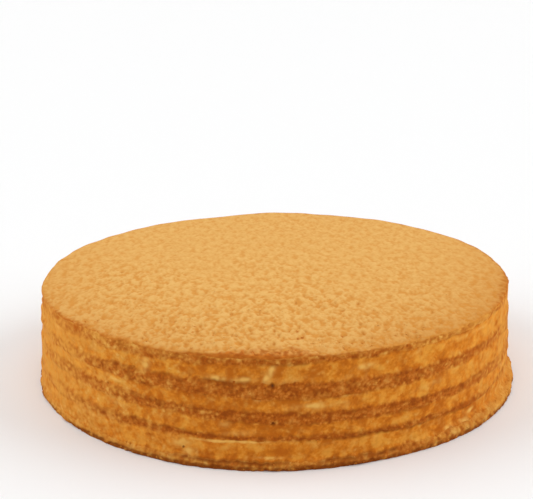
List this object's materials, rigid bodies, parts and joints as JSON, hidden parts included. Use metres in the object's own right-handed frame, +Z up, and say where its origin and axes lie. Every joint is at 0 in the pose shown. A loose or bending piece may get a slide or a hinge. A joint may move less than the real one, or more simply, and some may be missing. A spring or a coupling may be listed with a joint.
{
  "type": "medovik honey layer cake",
  "caption": "Whole round honey cake, uncut: thin honey sponge rounds and cream fillings stacked in turn, under a coat of fine crumbs.",
  "frame": {"origin": "under the middle of the cake, on the flat underside that it rests on", "axes": "+Z up through the layers, which lie level; -Y towards the front, the side that the picture shows; +X to the right"},
  "size_m": [0.249, 0.2506, 0.0519],
  "materials": {
    "honey_sponge": "porous brown honey sponge, dull",
    "cream_filling": "golden cream with fine crumbs pressed into it, dull",
    "crumb": "dry fine golden crumbs, dull"
  },
  "bodies": {
    "root": {"honey_layer_1": "honey_sponge", "cream_layer_1": "cream_filling", "honey_layer_2": "honey_sponge", "cream_layer_2": "cream_filling", "honey_layer_3": "honey_sponge", "cream_layer_3": "cream_filling", "honey_layer_4": "honey_sponge", "cream_layer_4": "cream_filling", "honey_layer_5": "honey_sponge", "crumb_coat": "crumb"}
  },
  "joints": []
}
